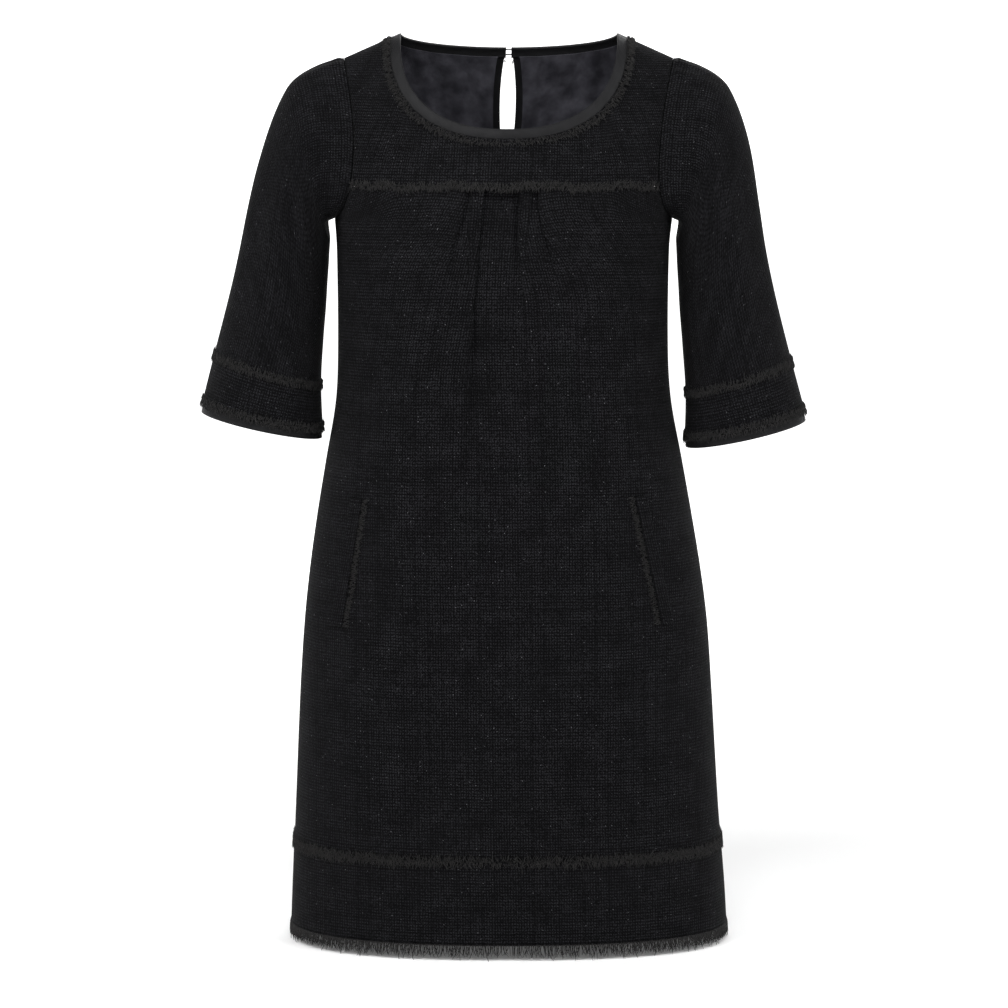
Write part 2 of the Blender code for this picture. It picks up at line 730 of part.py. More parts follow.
# ---- The dress -----------------------------------------------------------------------------

front_yoke()
front_body()
yoke_fringe()
neck_strip("neck_binding", (0.0, BINDING), BINDING_END, SATIN, BINDING_WALL, -LAP)
neck_strip("neck_fringe", NECK_FRINGE, NECK_FRINGE_END, FRAYED, FRINGE_WALL, lying_on(FRINGE_WALL, TRIM_LAP))
keyhole_binding()
hem_band(FRONT, "front")
hem_band(BACK, "back")
body_ring("hem_seam_fringe", HEM_SEAM_FRINGE[::-1], lying_on(FRINGE_WALL, TRIM_LAP))
body_ring("hem_fringe", (HEM_FRINGE, HEM - SEAM), 0.0)
for wearer_side, side_name in ((RIGHT, "right"), (LEFT, "left")):
    back_half(wearer_side, side_name)
    pocket(wearer_side, side_name)
    sleeve(wearer_side, side_name)
button()
button_loop()
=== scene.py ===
# %% [markdown]
# # A tweed shift dress, piece by piece
#
# The real dress is flat panels sewn into a hollow form, with frayed tweed laid over its seams. The
# fixed frame gives where every panel lies. Each panel here is a fine grid laid on the same form by a
# function, because a grid keeps the weave straight and can take folds that a carved block can't.

# %% Load the frame
import math
import random
from collections import namedtuple
from functools import lru_cache

import bmesh
import bpy
import numpy as np
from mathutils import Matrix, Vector


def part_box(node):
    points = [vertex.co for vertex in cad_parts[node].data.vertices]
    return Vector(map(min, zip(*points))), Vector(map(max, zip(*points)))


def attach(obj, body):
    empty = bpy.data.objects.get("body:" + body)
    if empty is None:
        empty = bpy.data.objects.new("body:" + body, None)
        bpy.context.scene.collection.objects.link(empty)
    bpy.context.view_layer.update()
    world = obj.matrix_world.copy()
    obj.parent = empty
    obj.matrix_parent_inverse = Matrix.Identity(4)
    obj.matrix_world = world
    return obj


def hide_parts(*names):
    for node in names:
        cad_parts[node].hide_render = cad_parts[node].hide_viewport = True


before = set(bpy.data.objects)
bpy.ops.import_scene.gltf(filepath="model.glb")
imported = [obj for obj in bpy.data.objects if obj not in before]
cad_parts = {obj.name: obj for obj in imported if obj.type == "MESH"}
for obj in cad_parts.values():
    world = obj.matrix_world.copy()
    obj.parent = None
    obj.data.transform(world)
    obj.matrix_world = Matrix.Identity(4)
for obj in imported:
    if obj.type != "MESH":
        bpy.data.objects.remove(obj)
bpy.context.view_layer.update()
print("frame holds", len(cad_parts), "pieces")

# %% [markdown]
# The form is a table of level sections from the shoulders to the hem, like the girth marks on a
# dressmaker's block. Lengths are metres, up is +Z, and the dress faces -Y.

# %% Sizes and tables
WALL = 0.0012
LINING_WALL = 0.0009
BINDING_WALL = 0.0024
SEAM = 0.0003
RIDGE_SEAM = 0.0008
ARMHOLE_SEAM = (0.0008, 0.0015)
FRONT, BACK = -1, 1
RIGHT, LEFT = -1, 1
SIDES = ((RIGHT, "right"), (LEFT, "left"))
YOKE_SEAM = -0.1475
UNDERARM = -0.180
HEM_SEAM = -0.804
HEM = -0.888
HEM_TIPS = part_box("hem_fringe")[0][2]

Section = namedtuple("Section", "height half_width front back sway")
BODY = (
    Section(0.000, 0.1780, 0.1220, 0.1000, 0.0010),
    Section(-0.100, 0.1760, 0.1220, 0.1000, -0.0010),
    Section(-0.150, 0.1700, 0.1220, 0.1000, -0.0035),
    Section(-0.180, 0.1660, 0.1220, 0.1000, -0.0045),
    Section(-0.212, 0.1635, 0.1220, 0.0990, -0.0050),
    Section(-0.310, 0.1630, 0.1200, 0.0960, -0.0050),
    Section(-0.360, 0.1660, 0.1180, 0.0980, -0.0045),
    Section(-0.420, 0.1768, 0.1170, 0.1080, -0.0040),
    Section(-0.480, 0.1873, 0.1160, 0.1170, -0.0035),
    Section(-0.530, 0.1950, 0.1150, 0.1230, -0.0028),
    Section(-0.580, 0.2010, 0.1145, 0.1270, -0.0022),
    Section(-0.650, 0.2060, 0.1135, 0.1290, -0.0020),
    Section(-0.767, 0.2125, 0.1125, 0.1310, -0.0010),
    Section(-0.850, 0.2180, 0.1120, 0.1320, 0.0005),
    Section(-0.900, 0.2205, 0.1120, 0.1320, 0.0010),
)
SQUARENESS = 2.4  # of a level section, where 2 is an ellipse
SHOULDER_TOP = 0.0520
SHOULDER_SLOPE = 0.46
SHOULDER_ROUND = 0.040
# The chest rounds away below the shoulder line, over this drop.
Roll = namedtuple("Roll", "drop power")
ROLL = {FRONT: Roll(0.30, 1.4), BACK: Roll(0.22, 1.6)}

Armhole = namedtuple("Armhole", "height reach")
ARMHOLE = (
    Armhole(-0.0245, 0.1610),
    Armhole(-0.0400, 0.1575),
    Armhole(-0.0600, 0.1535),
    Armhole(-0.0880, 0.1495),
    Armhole(-0.1150, 0.1478),
    Armhole(-0.1390, 0.1482),
    Armhole(-0.1580, 0.1512),
    Armhole(-0.1720, 0.1580),
    Armhole(-0.1800, 0.1660),
)
NECK_HALF = 0.106
NECK_DROP = {FRONT: 0.0925, BACK: 0.0130}
NECK_SQUARENESS = {FRONT: 2.4, BACK: 2.0}
BINDING = 0.0075
KEYHOLE_TOP = -0.0130
KEYHOLE_DEPTH = 0.1100
KEYHOLE_HALF = 0.0080
KEYHOLE_TIE = 0.0016
KEYHOLE_BINDING = 0.0062
KEYHOLE_START = -0.0209  # just under the neck binding
KEYHOLE_CLEAR = 1.12  # of the back's edge, times the binding's width, for the outline's slant

# %% [markdown]
# Smooth readings between the rows of a table keep the silhouette free of corners. The readings are
# remembered, because a whole row of a grid asks for the same height.


# %% Reading the tables
def mix(a, b, t):
    return a + (b - a) * t


def ease(t):
    t = min(max(t, 0.0), 1.0)
    return t * t * (3 - 2 * t)


@lru_cache(maxsize=None)
def read(rows, column, at):
    """A column's value where the table's first column is at, on a smooth curve through the rows."""
    keys = [row[0] for row in rows]
    values = [getattr(row, column) for row in rows]
    if keys[0] > keys[-1]:
        keys.reverse()
        values.reverse()
    at = min(max(at, keys[0]), keys[-1])
    low = max(i for i in range(len(keys) - 1) if keys[i] <= at)
    span = keys[low + 1] - keys[low]
    t = (at - keys[low]) / span

    def slope(i):
        a, b = max(i - 1, 0), min(i + 1, len(keys) - 1)
        return (values[b] - values[a]) / (keys[b] - keys[a]) * span

    return (
        values[low] * (1 + 2 * t) * (1 - t) ** 2
        + slope(low) * t * (1 - t) ** 2
        + values[low + 1] * t * t * (3 - 2 * t)
        + slope(low + 1) * t * t * (t - 1)
    )


def along(values, at):
    """A short list read at a fractional place."""
    return float(np.interp(at, range(len(values)), values))


def power(value, exponent):
    return math.copysign(abs(value) ** exponent, value)


# %% [markdown]
# Shoulders slope down from the neck, and below them the chest rounds away forwards and backwards.
# One function gives the point of the form at any place across and any height.


# %% The form
def shoulder_line(x):
    return SHOULDER_TOP - SHOULDER_SLOPE * math.hypot(x, SHOULDER_ROUND)


def body_depth(face, x, height):
    drop = max(shoulder_line(x) - height, 0.0)
    roll = ROLL[face]
    round_off = math.sqrt(1 - (1 - min(drop / roll.drop, 1.0)) ** roll.power)
    return read(BODY, "front" if face == FRONT else "back", height) * round_off


def on_body(x, height, face):
    """The form's point at x, before the sway, and at this height."""
    across = min(abs(x) / read(BODY, "half_width", height), 1.0)
    bulge = (1 - across**SQUARENESS) ** (1 / SQUARENESS)
    gap = RIDGE_SEAM if height > shoulder_line(x) - SEAM else SEAM
    y = max(body_depth(face, x, height) * bulge, gap / 2)
    return Vector((x + read(BODY, "sway", height), face * y, height))


def reach_of_turn(turn):
    return power(math.sin(turn), 2 / SQUARENESS)


def around_body(turn, height):
    face = FRONT if math.cos(turn) > 0 else BACK
    return on_body(reach_of_turn(turn) * read(BODY, "half_width", height), height, face)


def neck_edge(angle, inset):
    """x, height and face of the neck's edge: 0 is the front's middle, 90 degrees the left shoulder."""
    face = FRONT if abs(angle) <= math.pi / 2 else BACK
    half = NECK_HALF + inset
    low = -NECK_DROP[face] - inset
    curve = 2 / NECK_SQUARENESS[face]
    height = mix(shoulder_line(half), low, abs(math.cos(angle)) ** curve)
    return half * power(math.sin(angle), curve), height, face


# %% [markdown]
# ## Finishes
#
# Bouclé tweed is a plain weave of knotty yarns: small cells, a faint check where thicker yarns cross,
# and a few smoother flat threads, whose glints are painted into the colour as light spots, a painted
# highlight. The pattern reads the piece's own UV map, measured in metres along the cloth, so that it
# follows every fold at one scale.


# %% Small helpers for node materials
def new_material(name, colour, roughness, specular=0.3, sheen=0.0):
    material = bpy.data.materials.new(name)
    material.use_nodes = True
    shader = material.node_tree.nodes["Principled BSDF"]
    shader.inputs["Base Color"].default_value = (*colour, 1)
    shader.inputs["Roughness"].default_value = roughness
    shader.inputs["Specular IOR Level"].default_value = specular
    shader.inputs["Sheen Weight"].default_value = sheen
    return material, material.node_tree, shader


def add(tree, kind, **values):
    """A node with its sockets and settings filled in: sockets by name, settings with a leading underscore."""
    node = tree.nodes.new(kind)
    for key, value in values.items():
        if key.startswith("_"):
            setattr(node, key[1:], value)
        else:
            target = node.inputs[int(key[2:])] if key.startswith("in") else node.inputs[key]
            if isinstance(value, bpy.types.NodeSocket):
                tree.links.new(value, target)
            else:
                target.default_value = value
    return node


def maths(tree, operation, a, b=0.5):
    return add(tree, "ShaderNodeMath", _operation=operation, in0=a, in1=b).outputs[0]


def ramp(tree, factor, stops):
    node = add(tree, "ShaderNodeValToRGB", Fac=factor)
    elements = node.color_ramp.elements
    while len(elements) < len(stops):
        elements.new(0.5)
    for element, (at, level) in zip(elements, stops):
        element.position = at
        element.color = (*level, 1) if isinstance(level, tuple) else (level, level, level, 1)
    return node.outputs["Color"]


# %% Tweed
def tweed_material(name, dark, light):
    material, tree, shader = new_material(name, dark, 0.85, 0.07, 0.01)
    metres = add(tree, "ShaderNodeUVMap", _uv_map="cloth").outputs["UV"]
    wander = add(tree, "ShaderNodeTexNoise", Vector=metres, Scale=260.0, Detail=2.0).outputs["Color"]
    moved = add(tree, "ShaderNodeMix", _data_type="VECTOR", in0=0.0009, in4=metres, in5=wander).outputs[1]
    weft = add(tree, "ShaderNodeTexWave", Vector=moved, Scale=105.0, Distortion=1.2,
               Detail=2.0, _bands_direction="Y")  # fmt: skip
    warp = add(tree, "ShaderNodeTexWave", Vector=moved, Scale=120.0, Distortion=1.0,
               Detail=2.0, _bands_direction="X")  # fmt: skip
    weave = maths(tree, "MULTIPLY", weft.outputs["Fac"], warp.outputs["Fac"])
    knots = add(tree, "ShaderNodeTexVoronoi", Vector=moved, Scale=620.0).outputs["Distance"]
    cells = maths(tree, "SUBTRACT", 0.62, knots)
    slubs = add(tree, "ShaderNodeTexNoise", Vector=metres, Scale=900.0, Detail=3.0).outputs["Fac"]
    broad = add(tree, "ShaderNodeTexNoise", Vector=metres, Scale=38.0, Detail=3.0).outputs["Fac"]
    check = add(tree, "ShaderNodeTexBrick", Vector=moved, Scale=1.0, _offset=0.0,
                **{"Color1": (1, 1, 1, 1), "Color2": (1, 1, 1, 1), "Mortar": (0, 0, 0, 1),
                   "Mortar Size": 0.0009, "Mortar Smooth": 0.9, "Brick Width": 0.0125,
                   "Row Height": 0.0125}).outputs["Color"]  # fmt: skip
    patchy = ramp(tree, slubs, [(0.42, 0.25), (0.60, 1.0)])
    line = add(tree, "ShaderNodeMix", _data_type="FLOAT", in0=patchy, in2=1.0, in3=check).outputs[0]
    height = maths(tree, "ADD", maths(tree, "MULTIPLY", weave, 0.55), maths(tree, "MULTIPLY", cells, 0.7))
    height = maths(tree, "ADD", height, maths(tree, "MULTIPLY", slubs, 0.5))
    level = maths(tree, "MULTIPLY", height, maths(tree, "MULTIPLY_ADD", line, 0.45))
    level = maths(tree, "MULTIPLY", level, maths(tree, "ADD", broad, 0.55))
    level = maths(tree, "MULTIPLY", maths(tree, "SUBTRACT", level, 0.35), 1.6)  # more contrast
    base = add(tree, "ShaderNodeMix", _data_type="RGBA", in0=level, in6=(*dark, 1), in7=(*light, 1))
    # Painted highlight: a few random cells of the weave get a much lighter colour, as glints on flat threads,
    # and a lower roughness
    scatter = add(tree, "ShaderNodeTexVoronoi", Vector=metres, Scale=330.0)
    near = ramp(tree, scatter.outputs["Distance"], [(0.10, 1.0), (0.16, 0.0)])
    pick = add(tree, "ShaderNodeSeparateColor", Color=scatter.outputs["Color"]).outputs[0]
    few = ramp(tree, pick, [(0.90, 0.0), (0.93, 1.0)])
    gloss_and_painted_glint = maths(tree, "MULTIPLY", near, few)
    colour = add(tree, "ShaderNodeMix", _data_type="RGBA", in0=gloss_and_painted_glint, in6=base.outputs[2],
                 in7=(0.13, 0.13, 0.14, 1))  # fmt: skip
    tree.links.new(colour.outputs[2], shader.inputs["Base Color"])
    rough = add(tree, "ShaderNodeMix", _data_type="FLOAT", in0=gloss_and_painted_glint, in2=0.85, in3=0.3)
    tree.links.new(rough.outputs[0], shader.inputs["Roughness"])
    bump = add(tree, "ShaderNodeBump", Strength=0.9, Distance=0.0009, Height=height)
    tree.links.new(bump.outputs["Normal"], shader.inputs["Normal"])
    return material


TWEED = tweed_material("boucle_tweed", (0.0010, 0.0010, 0.0013), (0.0190, 0.0190, 0.0216))

# %% [markdown]
# Frayed threads are the same yarn, pulled loose. They vary a little from thread to thread, which a
# noise on object coordinates gives, since a thread is far smaller than the noise's spots.


# %% Frayed yarn, satin, lining and button
def frayed_material():
    material, tree, shader = new_material("frayed_yarn", (0.007, 0.007, 0.007), 0.80, 0.25, 0.02)
    place = add(tree, "ShaderNodeTexCoord").outputs["Object"]
    vary = add(tree, "ShaderNodeTexNoise", Vector=place, Scale=900.0, Detail=2.0).outputs["Fac"]
    colour = ramp(tree, vary, [(0.35, (0.0040, 0.0038, 0.0038)), (0.65, (0.0230, 0.0220, 0.0220))])
    tree.links.new(colour, shader.inputs["Base Color"])
    return material


def satin_material(name, dark, light, roughness, scale):
    """A smooth cloth: fine straight threads, and slow changes of tone along them."""
    material, tree, shader = new_material(name, dark, roughness, 0.14, 0.02)
    metres = add(tree, "ShaderNodeUVMap", _uv_map="cloth").outputs["UV"]
    threads = add(tree, "ShaderNodeTexWave", Vector=metres, Scale=scale, Distortion=1.5, Detail=1.0,
                  _bands_direction="DIAGONAL").outputs["Fac"]  # fmt: skip
    slow = add(tree, "ShaderNodeTexNoise", Vector=metres, Scale=60.0, Detail=3.0).outputs["Fac"]
    colour = ramp(tree, slow, [(0.35, dark), (0.68, light)])
    tree.links.new(colour, shader.inputs["Base Color"])
    pucker = add(tree, "ShaderNodeTexNoise", Vector=metres, Scale=150.0, Detail=2.0).outputs["Fac"]
    height = maths(tree, "ADD", maths(tree, "MULTIPLY", threads, 0.12), pucker)
    bump = add(tree, "ShaderNodeBump", Strength=0.35, Distance=0.0012, Height=height)
    tree.links.new(bump.outputs["Normal"], shader.inputs["Normal"])
    return material


def button_material():
    material, tree, shader = new_material("button_gloss", (0.010, 0.010, 0.011), 0.2, 0.5)
    place = add(tree, "ShaderNodeTexCoord").outputs["Object"]
    wear = add(tree, "ShaderNodeTexNoise", Vector=place, Scale=700.0, Detail=3.0).outputs["Fac"]
    rough = add(tree, "ShaderNodeMapRange", Value=wear, **{"To Min": 0.15, "To Max": 0.32}).outputs[0]
    tree.links.new(rough, shader.inputs["Roughness"])
    return material


FRAYED = frayed_material()
BOUND = satin_material("binding_satin", (0.0055, 0.0055, 0.0062), (0.0095, 0.0095, 0.0105), 0.55, 900.0)
LINING = satin_material("lining_satin", (0.0220, 0.0216, 0.0270), (0.0560, 0.0550, 0.0660), 0.42, 1200.0)
GLOSS = button_material()
print("finishes:", [m.name for m in bpy.data.materials])

# %% [markdown]
# ## Panels
#
# A panel is a grid operator's grid, each corner laid in its place, with a UV map that measures the
# cloth. Cloth could be one-sided, but the dress is open at neck, cuffs and hem, so Solidify gives it
# a real wall. The measured lengths are also the size that the panel is cut to.

# %% Making a panel
SHEETS = []


def thread_curve(name, radius, resolution):
    """A curve object's data, without threads yet, for round threads of this radius."""
    curve = bpy.data.curves.new(name, "CURVE")
    curve.dimensions = "3D"
    curve.bevel_depth = radius
    curve.bevel_resolution = resolution
    curve.use_fill_caps = True
    curve.materials.append(FRAYED)
    return curve


def add_thread(curve, points, thicknesses):
    spline = curve.splines.new("POLY")
    spline.points.add(len(points) - 1)
    for target, point, thickness in zip(spline.points, points, thicknesses):
        target.co = (*point, 1)
        target.radius = thickness


def placed(name, data, nodes):
    """The mesh or curve as a piece of the dress that stands for these nodes."""
    piece = bpy.data.objects.new(name, data)
    bpy.context.scene.collection.objects.link(piece)
    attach(piece, "root")
    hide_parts(*nodes)
    return piece


def measured(points):
    """Lengths along the rows, from the middle column, and along the columns, for a grid of points."""
    steps = np.linalg.norm(np.diff(points, axis=1), axis=2)
    across = np.concatenate([np.zeros((len(points), 1)), np.cumsum(steps, axis=1)], axis=1)
    rises = np.linalg.norm(np.diff(points, axis=0), axis=2)
    down = np.concatenate([np.zeros((1, points.shape[1])), np.cumsum(rises, axis=0)])
    return across, down


def cloth(name, place, across, down, material, wall=WALL, out=0.0, ring=False, nodes=(), held="hung"):
    """A piece of cloth: place(s, t) gives its point, s across and t up it, each from 0 to 1."""
    turn = across if ring else across + 1
    points = np.array([[place((i % turn) / across, j / down) for i in range(across + 1)]
                       for j in range(down + 1)])  # fmt: skip
    lengths, rises = measured(points)
    bm = bmesh.new()
    bmesh.ops.create_grid(bm, x_segments=across, y_segments=down, size=0.5)
    uv = bm.loops.layers.uv.new("cloth")
    middle = lengths[:, across // 2]
    where = {v: (round((v.co.x + 0.5) * across), round((v.co.y + 0.5) * down)) for v in bm.verts}
    for face in bm.faces:
        for loop in face.loops:
            i, j = where[loop.vert]
            loop[uv].uv = (lengths[j, i] - middle[j], rises[j, i])
    for vert, (i, j) in where.items():
        vert.co = points[j, i]
    if ring:
        bmesh.ops.remove_doubles(bm, verts=bm.verts, dist=SEAM / 10)
    bm.normal_update()
    for vert, move in [(v, v.normal * out) for v in bm.verts]:
        vert.co += move
    area = sum(face.calc_area() for face in bm.faces)
    mesh = bpy.data.meshes.new(name)
    bm.to_mesh(mesh)
    bm.free()
    mesh.materials.append(material)
    mesh.shade_smooth()
    piece = placed(name, mesh, nodes)
    thicken = piece.modifiers.new("wall", "SOLIDIFY")
    thicken.thickness = wall
    thicken.offset = 0.0
    cut = (float(lengths[:, -1].max()), float(rises[-1].max()))
    SHEETS.append([piece, cut, area, held, []])
    print(f"{name}: cut {cut[0]:.3f} x {cut[1]:.3f} m, {len(mesh.polygons)} faces")


# %% [markdown]
# Worn cloth is never quite smooth. A fold is a soft trough or ridge along a line, widest in its
# middle and fading at its ends. A short table holds the ones that matter, front and back.

# %% Soft folds
Fold = namedtuple("Fold", "top_x top_z foot_x foot_z half_width depth")
FRONT_FOLDS = (
    Fold(-0.021, -0.150, -0.036, -0.480, 0.007, 0.0062),
    Fold(-0.036, -0.155, -0.046, -0.300, 0.009, 0.0015),
    Fold(0.015, -0.150, 0.012, -0.330, 0.006, 0.0042),
    Fold(0.037, -0.150, 0.045, -0.270, 0.009, 0.0014),
    Fold(-0.033, -0.330, -0.020, -0.640, 0.022, 0.0022),
    Fold(0.004, -0.170, -0.004, -0.560, 0.014, -0.0016),
    Fold(0.040, -0.300, 0.052, -0.700, 0.026, 0.0018),
    Fold(-0.145, -0.200, -0.095, -0.330, 0.018, 0.0026),
    Fold(0.145, -0.205, 0.100, -0.320, 0.018, 0.0024),
    Fold(-0.148, -0.250, -0.130, -0.450, 0.014, 0.0018),
    Fold(0.150, -0.250, 0.135, -0.430, 0.014, 0.0018),
    Fold(-0.090, -0.420, -0.105, -0.800, 0.030, -0.0020),
    Fold(0.100, -0.440, 0.122, -0.800, 0.030, -0.0022),
    Fold(-0.060, -0.560, -0.075, -0.900, 0.024, 0.0018),
    Fold(0.062, -0.600, 0.080, -0.900, 0.024, 0.0018),
)
BACK_FOLDS = (
    Fold(-0.120, -0.190, -0.060, -0.330, 0.020, 0.0030),
    Fold(0.125, -0.185, 0.066, -0.320, 0.020, 0.0028),
    Fold(-0.090, -0.300, -0.115, -0.820, 0.030, -0.0026),
    Fold(0.085, -0.320, 0.110, -0.800, 0.030, -0.0024),
    Fold(-0.045, -0.420, -0.060, -0.900, 0.024, 0.0022),
    Fold(0.050, -0.400, 0.066, -0.900, 0.024, 0.0020),
    Fold(-0.060, -0.060, -0.110, -0.200, 0.022, 0.0020),
    Fold(0.064, -0.060, 0.112, -0.190, 0.022, 0.0018),
)


def fold_depth(folds, x, height):
    """How far the folds sink the cloth here."""
    sink = 0.0
    for fold in folds:
        t = (fold.top_z - height) / (fold.top_z - fold.foot_z)
        if 0.0 < t < 1.0:
            off = (x - mix(fold.top_x, fold.foot_x, t)) / (fold.half_width * (0.7 + 0.6 * t))
            sink += fold.depth * math.exp(-off * off) * ease(t / 0.15) * ease((1 - t) / 0.45)
    return sink


def panel_point(x, height, face, sink=0.0):
    """The form's point with its folds pressed in."""
    point = on_body(x, height, face)
    point.y -= face * (sink + fold_depth(FRONT_FOLDS if face == FRONT else BACK_FOLDS, x, height))
    return point


# %% [markdown]
# The front yoke hangs flat between the neck, the shoulders and the pleated seam. Its columns fan out
# from the neck's curve, so that the weave doesn't bunch up where the curve is steep.

# %% The front yoke
NECK_TURNS = [12, 24, 36, 47, 58, 68, 76, 82, 86, 88.5, 90]
NECK_ANGLES = [math.radians(a) for a in [-a for a in reversed(NECK_TURNS)] + [0] + NECK_TURNS]
SHOULDER_STEPS = 4
YOKE_FAN = 0.7  # how much of the neck's column spacing the yoke's foot keeps; 0 is even spacing


def blended_row(low, top, share, arm_from):
    lift = math.sin(share * math.pi / 2)
    height = mix(low[1], top[1], lift)
    return mix(arm_from, read(ARMHOLE, "reach", height), mix(low[0], top[0], lift)), height


def yoke_top(s):
    """The yoke's upper edge from right to left, as (share of the armhole's reach, height)."""
    at = s * (len(NECK_ANGLES) - 1 + 2 * SHOULDER_STEPS) - SHOULDER_STEPS
    past = max(-at, at - (len(NECK_ANGLES) - 1))
    if past > 0:
        reach = read(ARMHOLE, "reach", 0.0)
        x = mix(NECK_HALF + BINDING + RIDGE_SEAM, reach, past / SHOULDER_STEPS)
        return math.copysign(x / reach, at), shoulder_line(x)
    x, height, _ = neck_edge(along(NECK_ANGLES, at), BINDING + RIDGE_SEAM)
    return x / read(ARMHOLE, "reach", height), height


def yoke_place(s, t):
    top = yoke_top(s)
    low = (mix(2 * s - 1, top[0], YOKE_FAN), YOKE_SEAM + SEAM / 2)
    x, height = blended_row(low, top, t, 0.0)
    return panel_point(x, height, FRONT)


cloth("yoke", yoke_place, 150, 44, TWEED, nodes=["front_yoke"])

# %% [markdown]
# The body front is cut wider than the yoke, and the spare width is folded into two facing pairs of
# knife pleats. Each pleat is a few columns that run under and back, and open out further down. A
# smooth curve through the columns rounds the folds, as pressed tweed does.

# %% The pleated front
Pleat = namedtuple("Pleat", "at lean opened length")
PLEATS = (
    Pleat(-0.0385, -0.01, -0.054, 0.120),
    Pleat(-0.0200, -0.04, -0.032, 0.300),
    Pleat(0.0150, -0.06, 0.024, 0.170),
    Pleat(0.0355, -0.04, 0.056, 0.130),
)
PLY = 0.0017  # from one layer of a pleat to the next
PLEAT_FADE = 1.4  # a pleat has sunk back to nothing this many lengths down
Turn = namedtuple("Turn", "folded folded_sink opened opened_sink")
PLEAT_TURNS = [
    Turn(-0.0009, 0.0, -0.0100, 0.0),
    Turn(0.0000, 0.5, -0.0060, 0.2),
    Turn(-0.0009, 1.0, -0.0020, 0.7),
    Turn(-0.0100, 1.0, 0.0020, 1.3),
    Turn(-0.0109, 1.5, 0.0060, 1.8),
    Turn(-0.0100, 2.0, 0.0100, 2.0),
]
SIDE_TURNS = [90, 78, 64, 50, 37, 24]
FIXED_TURN = 30


def pleat_columns(pleat):
    inward = -math.copysign(1, pleat.at)

    def column(turn):
        def at(height):
            fall = YOKE_SEAM - height
            opening = ease(fall / pleat.length)
            fading = 1 - ease(fall / pleat.length / PLEAT_FADE)
            line = mix(pleat.at + pleat.lean * fall, pleat.opened, opening)
            x = line + inward * mix(turn.folded, turn.opened, opening)
            return x, fading * mix(turn.folded_sink, turn.opened_sink, opening)

        return at

    turns = PLEAT_TURNS if inward > 0 else PLEAT_TURNS[::-1]
    return [column(turn) for turn in turns]


def sink_of(pleats, height):
    return sum(2 * (1 - ease((YOKE_SEAM - height) / p.length / PLEAT_FADE)) for p in pleats)


def side_column(side, degrees):
    def at(height):
        half = read(BODY, "half_width", height)
        edge = 90.0
        if height > UNDERARM:
            share = min(read(ARMHOLE, "reach", height) / half, 1.0)
            edge = math.degrees(math.asin(share ** (SQUARENESS / 2)))
        turn = degrees
        if degrees > FIXED_TURN:
            turn = mix(FIXED_TURN, edge, (degrees - FIXED_TURN) / (90 - FIXED_TURN))
        return side * half * reach_of_turn(math.radians(turn)), 0.0

    return at


def middle_column(first, second, share, pleats):
    def at(height):
        return mix(first(height)[0], second(height)[0], share), sink_of(pleats, height)

    return at


def front_columns():
    outer_right, inner_right, inner_left, outer_left = (pleat_columns(p) for p in PLEATS)
    columns = [side_column(RIGHT, degrees) for degrees in SIDE_TURNS]
    columns += outer_right
    columns += [middle_column(outer_right[-1], inner_right[0], 0.75, PLEATS[:1])]
    columns += inner_right
    columns += [middle_column(inner_right[-1], inner_left[0], s, PLEATS[:2]) for s in (0.5, 0.75)]
    columns += inner_left
    columns += [middle_column(inner_left[-1], outer_left[0], 0.25, PLEATS[3:])]
    columns += outer_left
    columns += [side_column(LEFT, degrees) for degrees in reversed(SIDE_TURNS)]
    return columns


COLUMNS = front_columns()


@lru_cache(maxsize=None)
def columns_at(height):
    return [column(height) for column in COLUMNS]


def bend(a, b, c, d, t):
    """A smooth curve from b to c, with a before and d after."""
    return 0.5 * (2 * b + (c - a) * t + (2 * a - 5 * b + 4 * c - d) * t * t + (3 * b - a - 3 * c + d) * t**3)


def front_place(s, t):
    height = mix(HEM_SEAM + SEAM / 2, YOKE_SEAM - SEAM / 2, t ** 0.85)
    at = s * (len(COLUMNS) - 1)
    k = min(int(at), len(COLUMNS) - 2)
    row = columns_at(height)
    four = [row[min(max(k + step, 0), len(row) - 1)] for step in (-1, 0, 1, 2)]
    x = bend(*(place[0] for place in four), at - k)
    sink = bend(*(place[1] for place in four), at - k)
    if k in (0, len(COLUMNS) - 2):
        x = mix(four[1][0], four[2][0], at - k)
    return panel_point(x, height, FRONT, sink * PLY)


cloth("front", front_place, 5 * (len(COLUMNS) - 1), 150, TWEED, nodes=["front_body"],
      held="gathered")  # fmt: skip

# %% [markdown]
# The back is two halves that part round a keyhole at the neck. Both share one function, turned over
# for the other side. The lining shows inside the neck, so it is the upper rows again, moved inwards.

# %% The back halves and their lining
BACK_ANGLES = [math.radians(a) for a in (176, 165, 152, 139, 126, 114, 104, 96, 90)]
LINING_FOOT = 0.16  # of the way up from the underarm
LINING_INSET = 0.0020  # inside the back
LINING_SPAN = 0.94  # of a back half's width, from the middle


def keyhole_half(height):
    fall = min(max((KEYHOLE_TOP - height) / KEYHOLE_DEPTH, 0.0), 1.0)
    sine = math.sqrt(max(1 - (2 * fall - 1) ** 2, 0.0))
    tie = KEYHOLE_TIE * (1 - fall)
    return tie + (KEYHOLE_HALF - tie) * sine ** (1.5 if fall < 0.5 else 1.0)


def centre_back(height):
    foot = KEYHOLE_TOP - KEYHOLE_DEPTH
    width = KEYHOLE_BINDING + SEAM
    if height >= foot:
        return keyhole_half(height) + width * KEYHOLE_CLEAR
    fall = (foot - height) / (width * KEYHOLE_CLEAR)
    return SEAM / 2 + width * math.sqrt(max(1 - fall * fall, 0.0))


